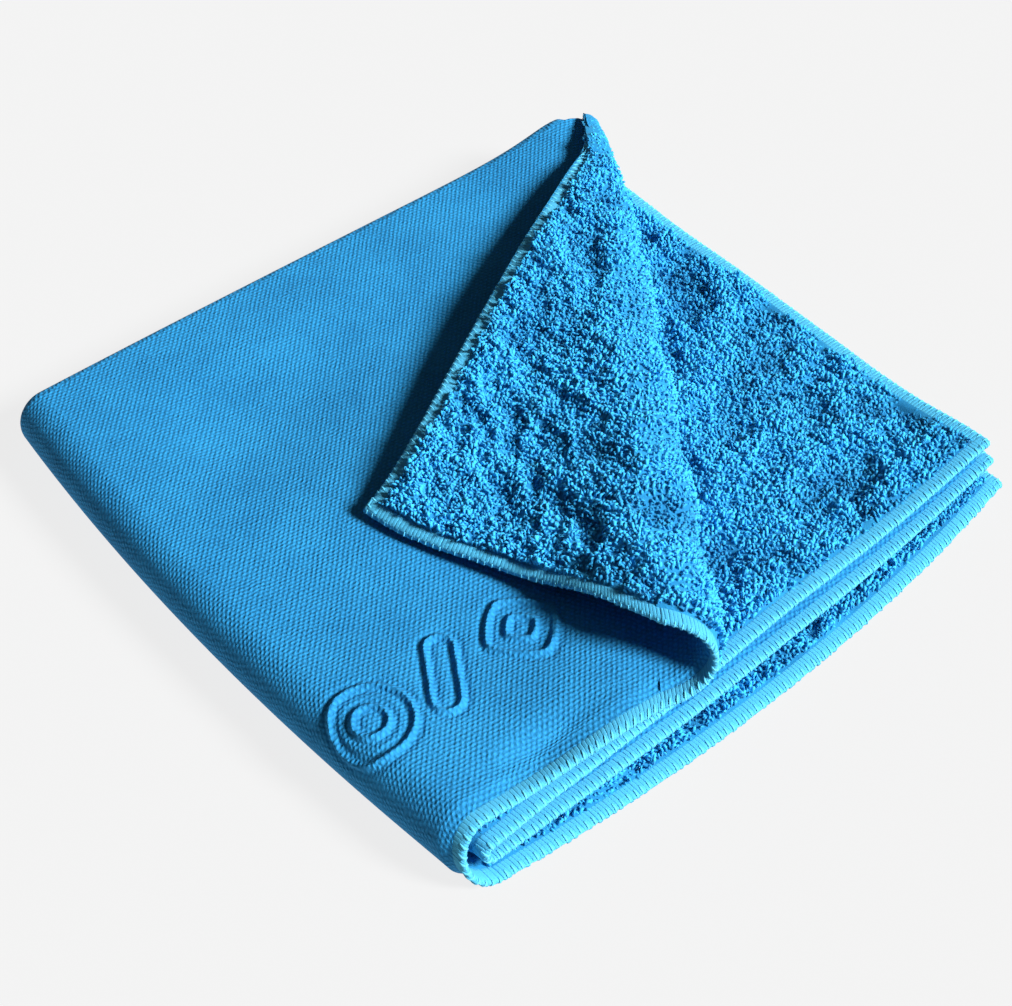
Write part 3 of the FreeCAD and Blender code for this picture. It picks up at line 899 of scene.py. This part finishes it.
def flap(b, a):
    """The turned-back corner: b from the back corner to the front edge, a from the roll to the free side.
    Rows leave the roll level and come down to the side by a bell of a, and bow out towards the spine by a
    cube of a, most at the front."""
    start, end = flap_rows(np.clip(b, 0, 1))
    a = a + 0 * b
    mixed = start[..., :2] * (1 - a)[..., None] + end[..., :2] * a[..., None]
    bow = a * a * (1 - a) * b**2
    x = mixed[..., 0] + FRONT_BOW * bow
    y = mixed[..., 1] + 0.15 * FRONT_BOW * bow
    late = 1.5 * a * a - 0.5 * a**3
    fall = 1 - np.exp(-((a / FALL_AT) ** 2))
    lower = (start[..., 2] - end[..., 2]) * (fall - late) * np.clip(b, 0, 1) ** 4
    x = x + FALL_BACK[0] * lower
    y = y + FALL_BACK[1] * lower
    sag = -2.2 * np.sin(math.pi * a) ** 2 * smooth(b * 1.6) * (0.6 + 0.5 * np.sin(9 * b + 1.0))
    swell = 0.7 * wavy(x, y, 38, 9) * np.sin(math.pi * np.clip(a, 0, 1)) * smooth(b * 4)
    z = start[..., 2] * (1 - fall) + end[..., 2] * fall + sag + swell
    return xyz(x, y, z)


def flap_width(b):
    """From the roll to the free side, seen from above."""
    start, end = flap_rows(b)
    return np.linalg.norm((end - start)[..., :2], axis=-1)


def flap_place(b, a):
    """Place on the cloth: on from the roll's, across the crease."""
    start = roll_place(b * flap_length, np.pi + 0 * b)
    return start + crease_out * (a * flap_width(b))[..., None]


def flap_away(b, a):
    """Distance to the nearer of the corner's two bound edges."""
    return np.minimum((1 - a) * flap_width(b), (1 - b) * flap_length)


# hollows in the corner's pile: the curls stand lower there and are also painted darker, as painted shade
PRESSED = np.array([(0.76, 0.15, 9.0), (0.68, 0.44, 7.0), (0.88, 0.30, 8.0), (0.50, 0.22, 7.0)])
flap_hollows = np.column_stack([flap_place(PRESSED[:, 0], PRESSED[:, 1]), PRESSED[:, 2]])


def flap_short(b, a):
    """Thickness on the short-pile side, underneath."""
    return squeezed(flap_away(b, a), SHORT_SIDE) * back_thin(b * flap_length / CREASE, math.pi)


def flap_long(b, a):
    """Thickness on the long-pile side: thinned at the back, plus the relief of the pile."""
    calm = smooth((flap_away(b, a) - binding_width) / 3) * (0.3 + 0.7 * smooth(b * 5))
    thin = back_thin(b * flap_length / CREASE, math.pi)
    return squeezed(flap_away(b, a), LONG_SIDE) * thin + relief(flap_place(b, a), flap_hollows) * calm


flap_along = from_back(1 - RIM / flap_length, 170)
flap_across = np.linspace(-0.003, 0.988, 80)  # tucked under the roll, and a rim short of the free side
flap_part = slab(flap, flap_place, flap_along, flap_across, 1, flap_short, flap_long)
corner_flap = piece("corner_flap_cloth", [flap_part], [short_pile, long_pile])
d, e = spots(2.5, flap_length - PILE_IN, 0, 110, 15)
wide = flap_width(np.clip(d / flap_length, 0, 1))
keep = e < wide - PILE_IN
size = end_size(d[keep])
b, a = (d / flap_length)[keep], (e / wide)[keep]
flap_curls = curls(flap, flap_place, b, a, 1, CURL_FOOT * size, flap_hollows, 15, size)
flap_pile = piece("corner_flap_pile", [flap_curls], [long_pile])
flap_front = binding("binding_flap_front", lambda t, w: flap(1 - w / flap_length, t), 9)
flap_side = binding("binding_flap_side", lambda t, w: flap(0.004 + 0.992 * t, 1 - w / flap_width(t)), 10)
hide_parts("corner_flap")
for made in (corner_flap, flap_pile, flap_front, flap_side):
    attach(made, "turned_corner")
flap_mean = float(flap_width(np.linspace(0, 1, 200)).mean())
float(flap_width(np.array([0.99]))[0]) * MM

# ---- The second layer's curls ----
# The long pile of the second layer, on the part that shows beside the roll and in a strip along the front,
# under the top layer's edge. It is the cloth's own pile, in two pieces because there are so many curls.

SPLIT_AT = 62.0
x, y = spots(spine_x, side_x - PILE_IN, front_y + PILE_IN, back_y, 13)
seen = (x - crease_front[0]) * crease_out[0] + (y - crease_front[1]) * crease_out[1]
near_front = y - front_y < binding_width + 6
shown = (seen > 3) | (near_front & (seen > -60))
for side_name, half, seed in (("left", x < SPLIT_AT, 13), ("right", x >= SPLIT_AT, 16)):
    keep = shown & half
    foot = np.full(keep.sum(), CURL_FOOT)
    part = curls(second_layer, plan(second_layer), x[keep], y[keep], -1, foot, HOLLOWS, seed)
    made = piece("second_panel_pile_" + side_name, [part], [long_pile])
    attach(made, "upper_half")

# ---- The spine folds ----
# Along the spine side the cloth is bent twice, one bend inside the other: the outer joins the bottom layer to
# the top one, the inner the third to the second. At the front each ends in a bound edge.

OUTER_ROUND, INNER_ROUND = 9.6, 2.5  # the cloth runs on this far for each radian round a bend
hairpin_round = (math.pi + 2 * OVER) * 2.7 * MM  # along the middle of the thickness, tucks included


def spine_loop(low, high):
    """A spine fold: at each place along it, half a round bend from the lower layer's side to the upper's."""

    def surface(angle, v):
        a = low(spine_x + 0 * v, low.front + (back_y - low.front) * v)
        b = high(spine_x + 0 * v, high.front + (back_y - high.front) * v)
        half = (b - a) / 2
        out = half[..., 2] * np.sin(angle)
        point = (a + b) / 2 - half * np.cos(angle)[..., None]
        return point - xyz(out, 0, 0)

    return surface


def loop_place(surface, radius):
    """Place on the cloth round a spine fold: the top joint's place, less the way round from it."""

    def place(angle, v):
        base = surface(np.pi + 0 * angle, v)
        return np.stack([base[..., 0] - radius * (math.pi - angle), base[..., 1]], -1)

    return place


def grown(start, angle):
    """Half a thickness that goes from start, at a fold's lower joint, to the usual one at its upper joint."""
    return start + (SHORT_SIDE - start) * np.clip(angle / math.pi, 0, 1)


outer_loop = spine_loop(bottom_layer, top_layer)
inner_loop = spine_loop(third_layer, second_layer)
outer_place = loop_place(outer_loop, OUTER_ROUND)
spine_turn = np.linspace(-OVER, math.pi + OVER, 64)
hairpin_turn = np.linspace(-OVER, math.pi + OVER, 20)
outer_part = slab(
    outer_loop,
    outer_place,
    spine_turn,
    front_to_back,
    1,
    lambda angle, v: squeezed(v * layer_depth, grown(half_cloth, angle)) + marks(outer_place(angle, v)),
    lambda angle, v: squeezed(v * layer_depth, LONG_SIDE),
)
spine_fold_outer = piece("spine_fold_outer_cloth", [outer_part], [short_pile, long_pile])
inner_part = slab(
    inner_loop,
    loop_place(inner_loop, INNER_ROUND),
    hairpin_turn,
    front_to_back,
    -1,
    lambda angle, v: squeezed(v * layer_depth, SHORT_SIDE),
    lambda angle, v: squeezed(v * layer_depth, LONG_SIDE),
)
spine_fold_inner = piece("spine_fold_inner_cloth", [inner_part], [short_pile, long_pile])
outer_bound = binding("binding_spine_outer", lambda t, w: outer_loop(t * math.pi, w / layer_depth), 21)
inner_bound = binding("binding_spine_inner", lambda t, w: inner_loop(t * math.pi, w / layer_depth), 22)
spine_low, spine_high = (0, 0, bottom_layer.middle * MM), (0, 0, top_layer.middle * MM)
inner_low, inner_high = (0, 0, third_layer.middle * MM), (0, 0, second_layer.middle * MM)
for name, fold, bound, low, high in (
    ("spine_fold_outer", spine_fold_outer, outer_bound, spine_low, spine_high),
    ("spine_fold_inner", spine_fold_inner, inner_bound, inner_low, inner_high),
):
    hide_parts(name)
    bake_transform(fold)
    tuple(low)
    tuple(high)
    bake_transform(bound)
    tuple(low)
    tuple(high)
outer_flat = (layer_depth * MM, math.pi * 7.5 * MM)

# ---- The back folds ----
# Along the back the cloth is bent in two tight hairpins, one above the other: the lower joins the bottom
# layer to the third, the upper the second to the top one. Their ends are bound too.

BACK_ROUND = 2.5


def hairpin(low, high):
    """A back fold: half a round bend from the lower layer's back side to the upper's."""

    def surface(x, angle):
        a, b = low(x), high(x)
        half = (b - a) / 2
        out = half[..., 2] * np.sin(angle)
        point = (a + b) / 2 - half * np.cos(angle)[..., None]
        return point + xyz(0, out, 0)

    return surface


def hairpin_place(surface):
    """Place on the cloth round a back fold: the lower joint's place, and the way round from it."""

    def place(x, angle):
        base = surface(x, 0 * angle)
        return np.stack([base[..., 0], base[..., 1] + BACK_ROUND * angle], -1)

    return place


def back_of(layer):
    """A layer's back side, as a line."""
    return lambda x: layer(x, back_y + 0 * x)


def top_back(x):
    """The top layer's back side, as a line."""
    return top((x - spine_x) / layer_width, 1.0 + 0 * x)


def back_fold(name, bound_name, surface, start, body, seed):
    """A back fold and its binding. start is half its thickness at the lower joint."""
    part = slab(
        surface,
        hairpin_place(surface),
        lines(spine_x - TUCK, side_x - RIM, LAYER_GRID),
        hairpin_turn,
        -1,
        lambda x, angle: squeezed(side_x - x, grown(start, angle)),
        lambda x, angle: squeezed(side_x - x, LONG_SIDE),
    )
    made = piece(name + "_cloth", [part], [short_pile, long_pile])
    bound = binding(bound_name, lambda t, w: surface(side_x - w + 0 * t, t * math.pi), seed)
    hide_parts(name)
    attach(made, body)
    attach(bound, body)
    area = layer_width * MM * hairpin_round


lower_bend = hairpin(back_of(bottom_layer), back_of(third_layer))
upper_bend = hairpin(back_of(second_layer), top_back)
back_fold("back_fold_lower", "binding_back_lower", lower_bend, half_cloth, "lower_half", 23)
back_fold("back_fold_upper", "binding_back_upper", upper_bend, SHORT_SIDE, "upper_half", 24)

# ---- The folded corner ----
# Where the spine and back folds cross, the middle of the cloth makes one rounded corner, four layers thick
# and pushed out by the folds inside it.


def corner(angle, turn):
    """The folded corner: round the spine by angle and over the back by turn, a patch between the ends of the
    outer and inner spine folds that bulges back by the sine of turn."""
    outer = outer_loop(angle, 1 + 0 * angle)
    inner = inner_loop(angle, 1 + 0 * angle)
    middle = (outer + inner) / 2
    half = (outer - inner) / 2
    return middle + half * np.cos(turn)[..., None] + xyz(0, BACK_ROUND * np.sin(turn), 0)


corner_part = slab(
    corner,
    lambda angle, turn: outer_place(angle, 1 + 0 * angle) + xyz(0, BACK_ROUND * turn, 0)[..., :2],
    spine_turn,
    hairpin_turn,
    1,
    lambda angle, turn: grown(half_cloth, angle),
    lambda angle, turn: LONG_SIDE + 0 * angle,
)
folded_corner = piece("folded_corner_cloth", [corner_part], [short_pile, long_pile])
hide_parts("folded_corner")
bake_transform(folded_corner)
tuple(spine_low)
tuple(spine_high)

# ---- The studio ----
# A pale floor that glows softly enough to keep its shadows faint, one broad key light low from the front
# right, and a faint fill from behind. The camera looks down at the front corner of the spine side.

FLOOR_REACH = 40.0
floor_corners = [(x * FLOOR_REACH, y * FLOOR_REACH, 0) for x, y in ((-1, -1), (1, -1), (1, 1), (-1, 1))]
floor_mesh = bpy.data.meshes.new("floor")
floor_mesh.from_pydata(floor_corners, [], [(0, 1, 2, 3)])
floor = bpy.data.objects.new("floor", floor_mesh)
bpy.context.scene.collection.objects.link(floor)
floor_paint = Paint("pale_floor")
floor_finish = {
    "Base Color": (0.06, 0.06, 0.06, 1),
    "Roughness": 1.0,
    "Specular IOR Level": 0.0,
    "Emission Color": (0.82, 0.82, 0.82, 1),
    "Emission Strength": 1.0,
}
floor_mesh.materials.append(floor_paint.finish(floor_paint.add("ShaderNodeBsdfPrincipled", {}, floor_finish)))


def soft_light(name, azimuth, elevation, spread, strength):
    """A broad distant light: its direction in degrees, azimuth from +X towards +Y, and how wide it is."""
    data = bpy.data.lights.new(name, "SUN")
    data.angle = math.radians(spread)
    data.energy = strength
    lamp = bpy.data.objects.new(name, data)
    turn, rise = math.radians(azimuth), math.radians(elevation)
    towards = Vector((math.cos(turn) * math.cos(rise), math.sin(turn) * math.cos(rise), math.sin(rise)))
    lamp.rotation_mode = "QUATERNION"
    lamp.rotation_quaternion = towards.to_track_quat("Z", "Y")
    bpy.context.scene.collection.objects.link(lamp)


soft_light("key", -58, 34, 16, 7.2)
soft_light("fill", 100, 60, 80, 0.08)
world = bpy.data.worlds.new("studio")
world.use_nodes = True
world.node_tree.nodes["Background"].inputs["Color"].default_value = (0.9, 0.9, 0.9, 1)
world.node_tree.nodes["Background"].inputs["Strength"].default_value = 0.045
bpy.context.scene.world = world
bpy.context.scene.view_settings.view_transform = "Standard"

CAMERA_AT = (-0.238636, -0.312307, 0.396977)
LOOK_AT = Vector((-0.01543, -0.013, 0.01))
CAMERA_TILT = math.radians(-2.07)
camera_data = bpy.data.cameras.new("camera")
camera_data.sensor_width = 36.0
camera_data.lens = 69.54
camera = bpy.data.objects.new("camera", camera_data)
camera.location = CAMERA_AT
camera.rotation_mode = "QUATERNION"
aim = (LOOK_AT - camera.location).to_track_quat("-Z", "Y")
camera.rotation_quaternion = aim @ Quaternion((0, 0, 1), CAMERA_TILT)
bpy.context.scene.collection.objects.link(camera)
bpy.context.scene.camera = camera
